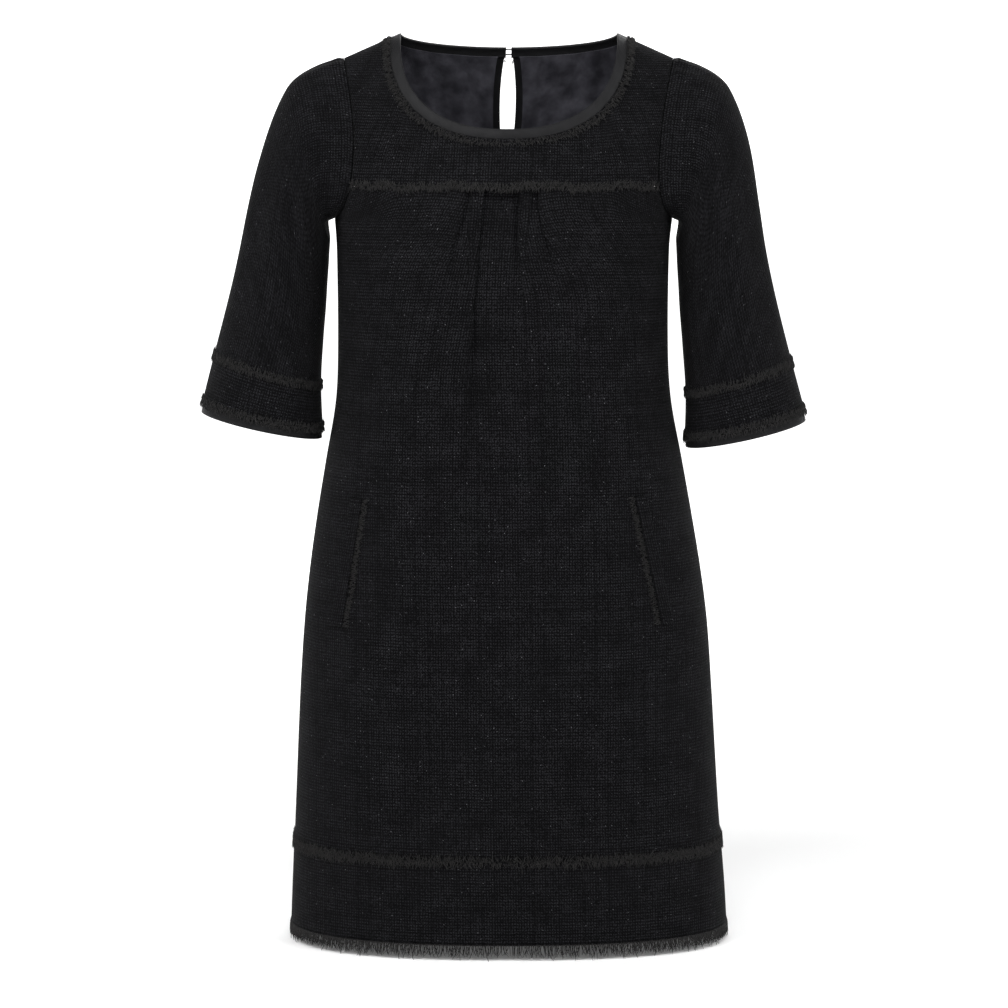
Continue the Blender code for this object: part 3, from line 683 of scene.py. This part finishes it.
def back_top(s):
    """The top of a back half, from the middle out, as (share of the reach, height)."""
    at = s * (len(BACK_ANGLES) - 1 + SHOULDER_STEPS)
    past = at - (len(BACK_ANGLES) - 1)
    if past > 0:
        reach, middle = read(ARMHOLE, "reach", 0.0), centre_back(0.0)
        x = mix(NECK_HALF + BINDING + RIDGE_SEAM, reach, past / SHOULDER_STEPS)
        return (x - middle) / (reach - middle), shoulder_line(x)
    x, height, _ = neck_edge(along(BACK_ANGLES, at), BINDING + RIDGE_SEAM)
    middle = centre_back(height)
    first = max(1 - at, 0.0)
    return (x - middle) / (read(ARMHOLE, "reach", height) - middle) * (1 - first), height


def back_place(side, s, t, start=0.0):
    """t runs up the body to 0.5 at the underarm, and on to 1 at the neck."""
    s = 1 - s if side == LEFT else s
    t = mix(start, 1.0, t)
    share = reach_of_turn(math.pi / 2 * s)
    if t < 0.5:
        height = mix(HEM_SEAM + SEAM / 2, UNDERARM, t / 0.5)
        x = mix(centre_back(height), read(BODY, "half_width", height), share)
    else:
        rise = (t - 0.5) / 0.5
        height = mix(UNDERARM, back_top(s)[1], math.sin(rise * math.pi / 2))
        x, height = blended_row((share, UNDERARM), back_top(s), rise, centre_back(height))
    return panel_point(side * x, height, BACK)


LINING_FOLDS = (
    Fold(-0.020, -0.010, -0.024, -0.150, 0.006, 0.0012),
    Fold(-0.062, -0.010, -0.030, -0.150, 0.014, -0.0030),
    Fold(-0.090, -0.005, -0.070, -0.150, 0.009, 0.0022),
    Fold(0.022, -0.010, 0.026, -0.150, 0.007, 0.0012),
    Fold(0.052, -0.010, 0.044, -0.150, 0.016, -0.0020),
    Fold(0.088, -0.005, 0.066, -0.150, 0.011, -0.0030),
)


def lining_place(side, s, t):
    s = s * LINING_SPAN + (1 - LINING_SPAN if side == LEFT else 0.0)
    point = back_place(side, s, t, 0.5 + 0.5 * LINING_FOOT)
    point.y -= abs(fold_depth(LINING_FOLDS, point.x, point.z))
    return point


for wearer_side, side_name in SIDES:
    cloth(f"back_{side_name}_half", lambda s, t, side=wearer_side: back_place(side, s, t), 64, 150,
          TWEED, nodes=[f"back_{side_name}"])  # fmt: skip
    cloth(f"neck_lining_{side_name}", lambda s, t, side=wearer_side: lining_place(side, s, t), 80, 60,
          LINING, LINING_WALL, -LINING_INSET, nodes=[f"back_lining_{side_name}"])  # fmt: skip

# %% [markdown]
# The neck and the keyhole are bound with a narrow folded strip. It is a strip along the edge, with
# its middle a little prouder than its sides, so that it reads as a turned, padded edge.


# %% The bindings
def puffed(place, lift):
    """Lifts a strip's middle off the body along the way it faces."""

    def at(s, t):
        point, face = place(s, t)
        point.y += face * lift * math.sin(t * math.pi)
        return point

    return at


WRAP = 0.0020  # how far a binding laps over the cloth that it binds
BINDING_END = 178.6  # degrees round the neck, beside the keyhole
NECK_BACK = [math.radians(BINDING_END)] + BACK_ANGLES[1:-1]
NECK_ROUND = [-a for a in NECK_BACK] + NECK_ANGLES + NECK_BACK[::-1]


def neck_strip(inner, outer):
    def place(s, t):
        x, height, face = neck_edge(along(NECK_ROUND, s * (len(NECK_ROUND) - 1)), mix(outer, inner, t))
        return on_body(x, height, face), face

    return place


cloth("neck_edge", puffed(neck_strip(0.0, BINDING + WRAP), 0.0007), 260, 8, BOUND,
      BINDING_WALL, -0.0003, nodes=["neck_binding"], held="stretched")  # fmt: skip


def keyhole_outline(angle, width):
    sides = []
    for at in (angle - 0.01, angle + 0.01, angle):
        height = KEYHOLE_TOP - KEYHOLE_DEPTH * (1 + math.cos(at)) / 2
        sides.append(Vector((math.copysign(keyhole_half(height), at), height)))
    tangent = (sides[1] - sides[0]).normalized()
    return sides[2] + Vector((tangent.y, -tangent.x)) * width


def keyhole_place(s, t):
    start = math.acos(1 - 2 * (KEYHOLE_START - KEYHOLE_TOP + KEYHOLE_DEPTH) / KEYHOLE_DEPTH)
    x, height = keyhole_outline(mix(start, -start, s), (KEYHOLE_BINDING + WRAP) * (1 - t))
    return on_body(x, min(height, KEYHOLE_START), BACK), BACK


cloth("keyhole_edge", puffed(keyhole_place, 0.0006), 96, 6, BOUND,
      0.0020, -0.0004, nodes=["keyhole_binding"], held="stretched")  # fmt: skip

# %% [markdown]
# The hem band goes on last, a straight strip of tweed with its seams at the sides. It takes up the
# folds of the skirt above it.


# %% The hem band
def hem_place(face):
    start = 0.0 if face == FRONT else math.pi

    def place(s, t):
        turn = start + mix(-math.pi / 2, math.pi / 2, s)
        height = mix(HEM, HEM_SEAM - SEAM / 2, t)
        x = math.copysign(abs(reach_of_turn(turn)), math.sin(turn)) * read(BODY, "half_width", height)
        return panel_point(x, height, face)

    return place


cloth("hem_band_of_front", hem_place(FRONT), 120, 16, TWEED, nodes=["hem_band_front"])
cloth("hem_band_of_back", hem_place(BACK), 120, 16, TWEED, nodes=["hem_band_back"])

# %% [markdown]
# A sleeve is one piece rolled into a tube. Its head is eased into a smaller armhole, and the spare
# length gathers into small tucks there. Further down it hangs in long soft folds to the cuff.

# %% Sleeve tables
Ring = namedtuple("Ring", "down outer_x outer_z inner_x inner_z depth lead")
SLEEVE = (
    Ring(0.000, 0.1610, -0.0245, 0.1660, -0.1800, 0.0580, 0.000),
    Ring(0.015, 0.1760, -0.0265, 0.1680, -0.1850, 0.0590, 0.000),
    Ring(0.032, 0.1925, -0.0310, 0.1690, -0.1910, 0.0600, 0.000),
    Ring(0.052, 0.2085, -0.0430, 0.1697, -0.1980, 0.0610, -0.001),
    Ring(0.077, 0.2215, -0.0640, 0.1702, -0.2060, 0.0620, -0.002),
    Ring(0.106, 0.2325, -0.0920, 0.1707, -0.2150, 0.0625, -0.003),
    Ring(0.140, 0.2415, -0.1250, 0.1713, -0.2270, 0.0630, -0.004),
    Ring(0.184, 0.2500, -0.1680, 0.1725, -0.2450, 0.0630, -0.006),
    Ring(0.229, 0.2580, -0.2120, 0.1740, -0.2700, 0.0635, -0.008),
    Ring(0.274, 0.2680, -0.2560, 0.1765, -0.3000, 0.0640, -0.010),
    Ring(0.337, 0.2840, -0.3170, 0.1795, -0.3480, 0.0660, -0.012),
    Ring(0.389, 0.2970, -0.3660, 0.1785, -0.3935, 0.0680, -0.014),
    Ring(0.397, 0.2990, -0.3740, 0.1780, -0.4010, 0.0680, -0.014),
)
HANG = {RIGHT: 0.988, LEFT: 1.012}
HEAD_BLEND = 0.065
CUFF_SEAM = 0.337
CUFF_END = 0.389
CUFF_EDGE_END = 0.397
CUFF_EDGE_START = CUFF_END - 0.004  # tucked up inside the cuff
CUFF_EDGE_INSET = 0.0012

Tuck = namedtuple("Tuck", "turn half_turn length lift")
TUCKS = (
    Tuck(-58, 9, 0.045, 0.0016),
    Tuck(-40, 10, 0.070, 0.0024),
    Tuck(-20, 9, 0.080, 0.0028),
    Tuck(0, 8, 0.065, 0.0026),
    Tuck(18, 9, 0.085, 0.0030),
    Tuck(36, 8, 0.075, 0.0026),
    Tuck(54, 9, 0.060, 0.0022),
    Tuck(74, 10, 0.050, 0.0014),
)
# Long soft folds of the sleeve: turn at the top and at the foot, from the top to the front.
Drape = namedtuple("Drape", "turn foot_turn start end half_turn depth")
DRAPES = (
    Drape(60, 48, 0.050, 0.320, 15, 0.0022),
    Drape(100, 112, 0.030, 0.260, 14, 0.0026),
    Drape(20, 26, 0.080, 0.330, 13, -0.0014),
    Drape(140, 130, 0.060, 0.330, 16, 0.0020),
    Drape(-70, -55, 0.050, 0.320, 16, 0.0024),
    Drape(-115, -125, 0.030, 0.300, 15, 0.0026),
)


# %% The sleeve's form
def armhole_loop(angle):
    top, low = ARMHOLE[0].height, ARMHOLE[-1].height
    height = mix(low, top, (1 + math.cos(angle)) / 2)
    face = FRONT if math.sin(angle) >= 0 else BACK
    point = on_body(read(ARMHOLE, "reach", height), height, face)
    point.x -= read(BODY, "sway", height)
    return point


def sleeve_relief(down, degrees):
    """How far the cloth stands off the sleeve's form, at its tucks and long folds."""
    lift = 0.0
    for tuck in TUCKS:
        off = (degrees - tuck.turn) / (tuck.half_turn * (0.75 + 3.0 * down))
        lift += tuck.lift * math.exp(-off * off) * ease(down / 0.010) * (1 - ease(down / tuck.length))
    for drape in DRAPES:
        t = (down - drape.start) / (drape.end - drape.start)
        if 0 < t < 1:
            off = (degrees - mix(drape.turn, drape.foot_turn, t)) / drape.half_turn
            lift -= drape.depth * math.exp(-off * off) * math.sin(t * math.pi)
    return lift


def sleeve_point(side, down, angle):
    outer = Vector((read(SLEEVE, "outer_x", down), 0, read(SLEEVE, "outer_z", down)))
    inner = Vector((read(SLEEVE, "inner_x", down), 0, read(SLEEVE, "inner_z", down)))
    centre = (outer + inner) / 2
    centre.y = read(SLEEVE, "lead", down)
    span = (outer - inner) / 2
    deep = Vector((0, -read(SLEEVE, "depth", down), 0))
    ring = centre + span * math.cos(angle) + deep * math.sin(angle)
    first = SLEEVE[0]
    start = Vector(((first.outer_x + first.inner_x) / 2, 0, (first.outer_z + first.inner_z) / 2))
    head = armhole_loop(angle) + (centre - start)
    point = head.lerp(ring, ease(down / HEAD_BLEND))
    degrees = math.degrees(angle) + (3 if side == LEFT else -2) * math.sin(3 * angle)
    point += (point - centre).normalized() * sleeve_relief(down, degrees)
    top = SLEEVE[0].outer_z
    point.z = top + (point.z - top) * mix(1.0, HANG[side], ease(down / CUFF_SEAM))
    gap = mix(*ARMHOLE_SEAM, (1 - math.cos(angle)) / 2)
    point.x = side * (point.x + gap) + read(BODY, "sway", point.z)
    return point


def tube_place(side, start, end):
    def place(s, t):
        return sleeve_point(side, mix(start, end, t), side * math.pi * (2 * s - 1))

    return place


# %% Sleeves, cuffs and the smooth strips under them
for wearer_side, side_name in SIDES:
    cloth(f"sleeve_{side_name}_tube", tube_place(wearer_side, 0.0, CUFF_SEAM - SEAM / 2), 120, 100,
          TWEED, ring=True, nodes=[f"sleeve_{side_name}"], held="gathered")  # fmt: skip
    cloth(f"cuff_{side_name}_band", tube_place(wearer_side, CUFF_SEAM + SEAM / 2, CUFF_END - SEAM), 120, 12,
          TWEED, ring=True, nodes=[f"cuff_{side_name}"])  # fmt: skip
    cloth(f"cuff_{side_name}_edge", tube_place(wearer_side, CUFF_EDGE_START, CUFF_EDGE_END), 120, 5, BOUND,
          LINING_WALL, -CUFF_EDGE_INSET, ring=True, nodes=[f"cuff_edge_{side_name}"])  # fmt: skip

# %% [markdown]
# The pockets are slanted welts: a narrow folded strip of tweed that lies on the front, with its
# opening on the side seam's side.

# %% The pocket welts
Pocket = namedtuple("Pocket", "top_x top_z foot_x foot_z")
POCKETS = {
    RIGHT: Pocket(-0.1480, -0.449, -0.1705, -0.576),
    LEFT: Pocket(0.1370, -0.446, 0.1625, -0.572),
}
WELT_WIDTH = 0.0110
WELT_WALL = 0.0016
WELT_LIFT = 0.0021  # off the front, from middle to middle
POCKET_LAP = 0.0010
POCKET_FRINGE = 0.0075


def pocket_strip(side, near, far):
    line = POCKETS[side]

    def place(s, t):
        inset = mix(near, far, s if side == RIGHT else 1 - s)
        x = mix(line.foot_x, line.top_x, t) - side * inset
        return panel_point(x, mix(line.foot_z, line.top_z, t), FRONT)

    return place


for wearer_side, side_name in SIDES:
    cloth(f"welt_{side_name}", pocket_strip(wearer_side, 0.0, WELT_WIDTH), 10, 50, TWEED,
          WELT_WALL, WELT_LIFT, nodes=[f"pocket_welt_{side_name}"], held="laid")  # fmt: skip

# %% [markdown]
# ## Frayed trims
#
# Each seam is covered by a strip of the same tweed with its long edges pulled to threads. Thousands
# of threads as meshes of their own would be slow to make, so each trim is one curve object whose
# splines are the threads, thick at the root and thin at the tip, and each bent its own way.


# %% Making a fringe
def fringe(name, place, count, seed, nodes, sheet, reach=(0.5, 1.0), spread=0.35, proud=0.0010,
           both=True, radius=0.00034, stray=0.04, closed=False, facing=1):  # fmt: skip
    """Threads along place(s, w): s along the trim, w from one edge of it to the other.

    They start at its middle, or at w = 1 if both is off. facing turns them to the cloth's other side.
    """
    rng = random.Random(seed)
    curve = thread_curve(name, radius, 0)
    step = 0.4 / count
    for k in range(count):
        s = (k + rng.random()) / count
        root_w = rng.uniform(0.40, 0.60) if both else 1.0
        low_edge = rng.random() < 0.5 if both else True
        ahead = (s + step) % 1.0 if closed else min(s + step, 1.0)
        behind = (s - step) % 1.0 if closed else max(s - step, 0.0)
        root = place(s, root_w)
        tangent = (place(ahead, root_w) - place(behind, root_w)).normalized()
        over = place(s, 0.0 if low_edge else 1.0) - root
        length = over.length * rng.uniform(*reach)
        if rng.random() < stray:
            length *= rng.uniform(1.2, 1.7)
        direction = (over.normalized() + tangent * rng.gauss(0, spread)).normalized()
        outward = tangent.cross(place(s, 1.0) - place(s, 0.0)).normalized() * facing
        off = outward * (0.0009 + proud * rng.random())
        bow = tangent * rng.gauss(0, 0.12) * length
        points = [root + off * 0.6,
                  root + direction * length * 0.35 + off * 1.25,
                  root + direction * length * 0.70 + bow * 0.6 + off * 1.3,
                  root + direction * length + bow * 1.6 + off * rng.uniform(0.3, 1.6)]  # fmt: skip
        add_thread(curve, points, (1.0, 0.95, 0.75, 0.35))
    piece = placed(name, curve, nodes)
    for entry in SHEETS:
        if entry[0].name == sheet:
            entry[4].append(piece)
    print(f"{name}: {count} threads")


# %% The fringes of the body
YOKE_FRINGE = (-0.1535, -0.1410)  # foot and top
HEM_SEAM_FRINGE = (-0.8125, -0.7960)
NECK_FRINGE = (0.0080, 0.0180)  # from the neck's edge
CUFF_SEAM_FRINGE = (0.3295, 0.3445)  # down the sleeve
CUFF_FRINGE = (0.3785, 0.3925)
HEM_LAP = 0.001  # the threads of the hem start this far up the band


def yoke_trim(s, w):
    height = mix(*YOKE_FRINGE, w) + 0.0010 * math.sin(23 * s) + 0.0008 * math.sin(57 * s + 1)
    reach = read(ARMHOLE, "reach", YOKE_SEAM) - SEAM
    point = on_body(mix(-reach, reach, s), height, FRONT)
    point.y -= 0.0006
    return point


fringe("yoke_frayed", yoke_trim, 1100, 1, ["yoke_fringe"], "yoke", spread=0.45)


def neck_trim(s, w):
    point, face = neck_strip(*NECK_FRINGE)(s, w)
    point.y += face * 0.0004
    return point


fringe("neck_frayed", neck_trim, 2000, 2, ["neck_fringe"], "neck_edge", spread=0.55, stray=0.08, proud=0.0014)


def body_trim(low, high, wave):
    def place(s, w):
        turn = 2 * math.pi * s - math.pi / 2
        height = mix(low, high, w) + wave * (math.sin(17 * turn) + 0.6 * math.sin(41 * turn + 1))
        point = around_body(turn, height)
        face = FRONT if math.cos(turn) > 0 else BACK
        return panel_point(point.x - read(BODY, "sway", height), height, face)

    return place


fringe("hem_seam_frayed", body_trim(*HEM_SEAM_FRINGE, 0.0004), 3600, 3, ["hem_seam_fringe"],
       "hem_band_of_front", spread=0.45, stray=0.06, closed=True)  # fmt: skip
fringe("hem_frayed", body_trim(HEM_TIPS, HEM + HEM_LAP, 0.0), 2300, 4, ["hem_fringe"], "hem_band_of_back",
       reach=(0.75, 1.10), spread=0.20, both=False, stray=0.05, proud=0.0004, closed=True,
       radius=0.00040)  # fmt: skip

# %% The fringes of the sleeves and pockets
for wearer_side, side_name in SIDES:
    def cuff_trim(start, end, side=wearer_side):
        def place(s, w):
            return sleeve_point(side, mix(end, start, w), math.pi * (2 * s - 1) * side)

        return place

    fringe(f"cuff_seam_frayed_{side_name}", cuff_trim(*CUFF_SEAM_FRINGE), 1100, 5 + wearer_side,
           [f"cuff_seam_fringe_{side_name}"], f"cuff_{side_name}_band", spread=0.45, stray=0.07,
           closed=True, facing=-1)  # fmt: skip
    fringe(f"cuff_frayed_{side_name}", cuff_trim(*CUFF_FRINGE), 1200, 8 + wearer_side,
           [f"cuff_fringe_{side_name}"], f"cuff_{side_name}_edge", spread=0.40, stray=0.07,
           closed=True, facing=-1)  # fmt: skip

    def pocket_trim(s, w, side=wearer_side):
        strip = pocket_strip(side, WELT_WIDTH - POCKET_LAP, WELT_WIDTH + POCKET_FRINGE)
        return strip(w if side == RIGHT else 1 - w, s)

    fringe(f"pocket_frayed_{side_name}", pocket_trim, 330, 11 + wearer_side,
           [f"pocket_fringe_{side_name}"], f"welt_{side_name}", spread=0.45, facing=wearer_side)  # fmt: skip

# %% [markdown]
# A small ball button on the binding's end, and the thread loop that holds it. The ball is a profile
# spun round its shank, and the loop is a bevelled curve.

# %% Button and loop
BUTTON_RADIUS = 0.0045
SHANK_RADIUS = 0.0014
SHANK_LENGTH = 0.0032
LOOP_CORD = 0.0007
BUTTON_PLACE = (0.0075, -0.0172)
LOOP_ROOT = -0.0010
LOOP_TAIL = 0.0030  # sewn to the binding, past the root


def back_face(x, height, out):
    return on_body(x, height, BACK) + Vector((0, 0.0014 + out, 0))


bm = bmesh.new()
middle = SHANK_LENGTH + BUTTON_RADIUS * 0.95
profile = [(0, 0), (SHANK_RADIUS, 0), (SHANK_RADIUS, SHANK_LENGTH)]
meets = math.asin(SHANK_RADIUS / BUTTON_RADIUS)
for k in range(15):
    angle = mix(math.pi - meets, 0, k / 14)
    profile.append((BUTTON_RADIUS * math.sin(angle), middle + BUTTON_RADIUS * math.cos(angle)))
verts = [bm.verts.new((r, y, 0)) for r, y in profile]
edges = [bm.edges.new(pair) for pair in zip(verts, verts[1:])]
bmesh.ops.spin(bm, geom=verts + edges, axis=(0, 1, 0), cent=(0, 0, 0), angle=2 * math.pi, steps=32,
               use_merge=True)  # fmt: skip
bmesh.ops.remove_doubles(bm, verts=bm.verts, dist=1e-6)
bmesh.ops.recalc_face_normals(bm, faces=bm.faces)
bmesh.ops.translate(bm, verts=bm.verts, vec=back_face(*BUTTON_PLACE, SEAM))
mesh = bpy.data.meshes.new("ball_button")
bm.to_mesh(mesh)
bm.free()
mesh.materials.append(GLOSS)
mesh.shade_smooth()
placed("ball_button", mesh, ["button"])

x, height = BUTTON_PLACE
radius = SHANK_RADIUS + SEAM + LOOP_CORD
flat = [(LOOP_ROOT - LOOP_TAIL, radius), (LOOP_ROOT, radius), ((LOOP_ROOT + x) / 2, radius)]
route = flat + [(x + radius * math.cos(math.radians(a)), radius * math.sin(math.radians(a)))
                for a in range(90, -91, -15)]  # fmt: skip
route += [(px, -pz) for px, pz in reversed(flat)]
curve = thread_curve("thread_loop", LOOP_CORD * 0.9, 3)
points = [back_face(px, height + pz, LOOP_CORD + SEAM) for px, pz in route]
add_thread(curve, points, [1.0] * len(points))
placed("thread_loop", curve, ["button_loop"])

# %% [markdown]
# ## The cloth's cut
#
# Every panel is a sheet of a known cut. The pleats, tucks and folds are counted in it, because the
# lengths were measured along the cloth.

# %% [markdown]
# ## Studio
#
# A white floor that runs up into a backdrop, with large soft lights, gives even light on dark cloth.
# The floor glows more further off, where the lamps are weak, so that it is white all the way and
# still takes a soft shadow under the hem. The camera looks down a little from in front.

# %% Floor, lights and camera
FLOOR = HEM_TIPS - 0.004  # clear of the longest threads
bm = bmesh.new()
bmesh.ops.create_grid(bm, x_segments=1, y_segments=1, size=14)
bmesh.ops.translate(bm, verts=bm.verts, vec=(0, 6, FLOOR))
far = [e for e in bm.edges if min(v.co.y for v in e.verts) > 15]
up = bmesh.ops.extrude_edge_only(bm, edges=far)["geom"]
bmesh.ops.translate(bm, verts=[v for v in up if isinstance(v, bmesh.types.BMVert)], vec=(0, 3, 14))
mesh = bpy.data.meshes.new("floor")
bm.to_mesh(mesh)
bm.free()
floor_material, floor_tree, floor_shader = new_material("paper_white", (0.92, 0.92, 0.92), 0.9, 0.0)
floor_shader.inputs["Emission Color"].default_value = (1, 1, 1, 1)
away = add(floor_tree, "ShaderNodeTexCoord").outputs["Object"]
away = add(floor_tree, "ShaderNodeSeparateXYZ", Vector=away).outputs["Y"]
glow = add(floor_tree, "ShaderNodeMapRange", Value=away,
           **{"From Min": 0.4, "From Max": 3.0, "To Min": 0.10, "To Max": 0.95}).outputs[0]  # fmt: skip
floor_tree.links.new(glow, floor_shader.inputs["Emission Strength"])
mesh.materials.append(floor_material)
floor = bpy.data.objects.new("floor", mesh)
bpy.context.scene.collection.objects.link(floor)

world = bpy.data.worlds.new("studio")
world.use_nodes = True
world.node_tree.nodes["Background"].inputs["Color"].default_value = (1, 1, 1, 1)
world.node_tree.nodes["Background"].inputs["Strength"].default_value = 0.26
bpy.context.scene.world = world
bpy.context.scene.view_settings.view_transform = "Standard"

Lamp = namedtuple("Lamp", "name x y z size energy")
for lamp in (
    Lamp("key", -1.9, -1.5, 1.5, 1.0, 58),
    Lamp("fill", 2.0, -1.4, 1.2, 1.0, 38),
    Lamp("top", 0.0, -1.5, 1.4, 0.8, 20),
    Lamp("rim", 0.4, 2.2, 1.8, 1.6, 45),
):
    data = bpy.data.lights.new(lamp.name, "AREA")
    data.size = lamp.size
    data.energy = lamp.energy
    light = bpy.data.objects.new(lamp.name, data)
    light.location = (lamp.x, lamp.y, lamp.z)
    light.rotation_euler = (Vector((0, 0, -0.4)) - light.location).to_track_quat("-Z", "Y").to_euler()
    bpy.context.scene.collection.objects.link(light)

MIDDLE = -0.46506
EYE = Vector((-0.004, -3.16, -0.061))
data = bpy.data.cameras.new("camera")
data.lens = 113.9
camera = bpy.data.objects.new("camera", data)
camera.location = EYE
camera.rotation_euler = (Vector((EYE.x, 0, MIDDLE)) - EYE).to_track_quat("-Z", "Y").to_euler()
bpy.context.scene.collection.objects.link(camera)
bpy.context.scene.camera = camera

# %% [markdown]
# The looks may stand a little proud of the frame, whose pieces are kept, hidden.

# %% Finish
bpy.context.view_layer.update()
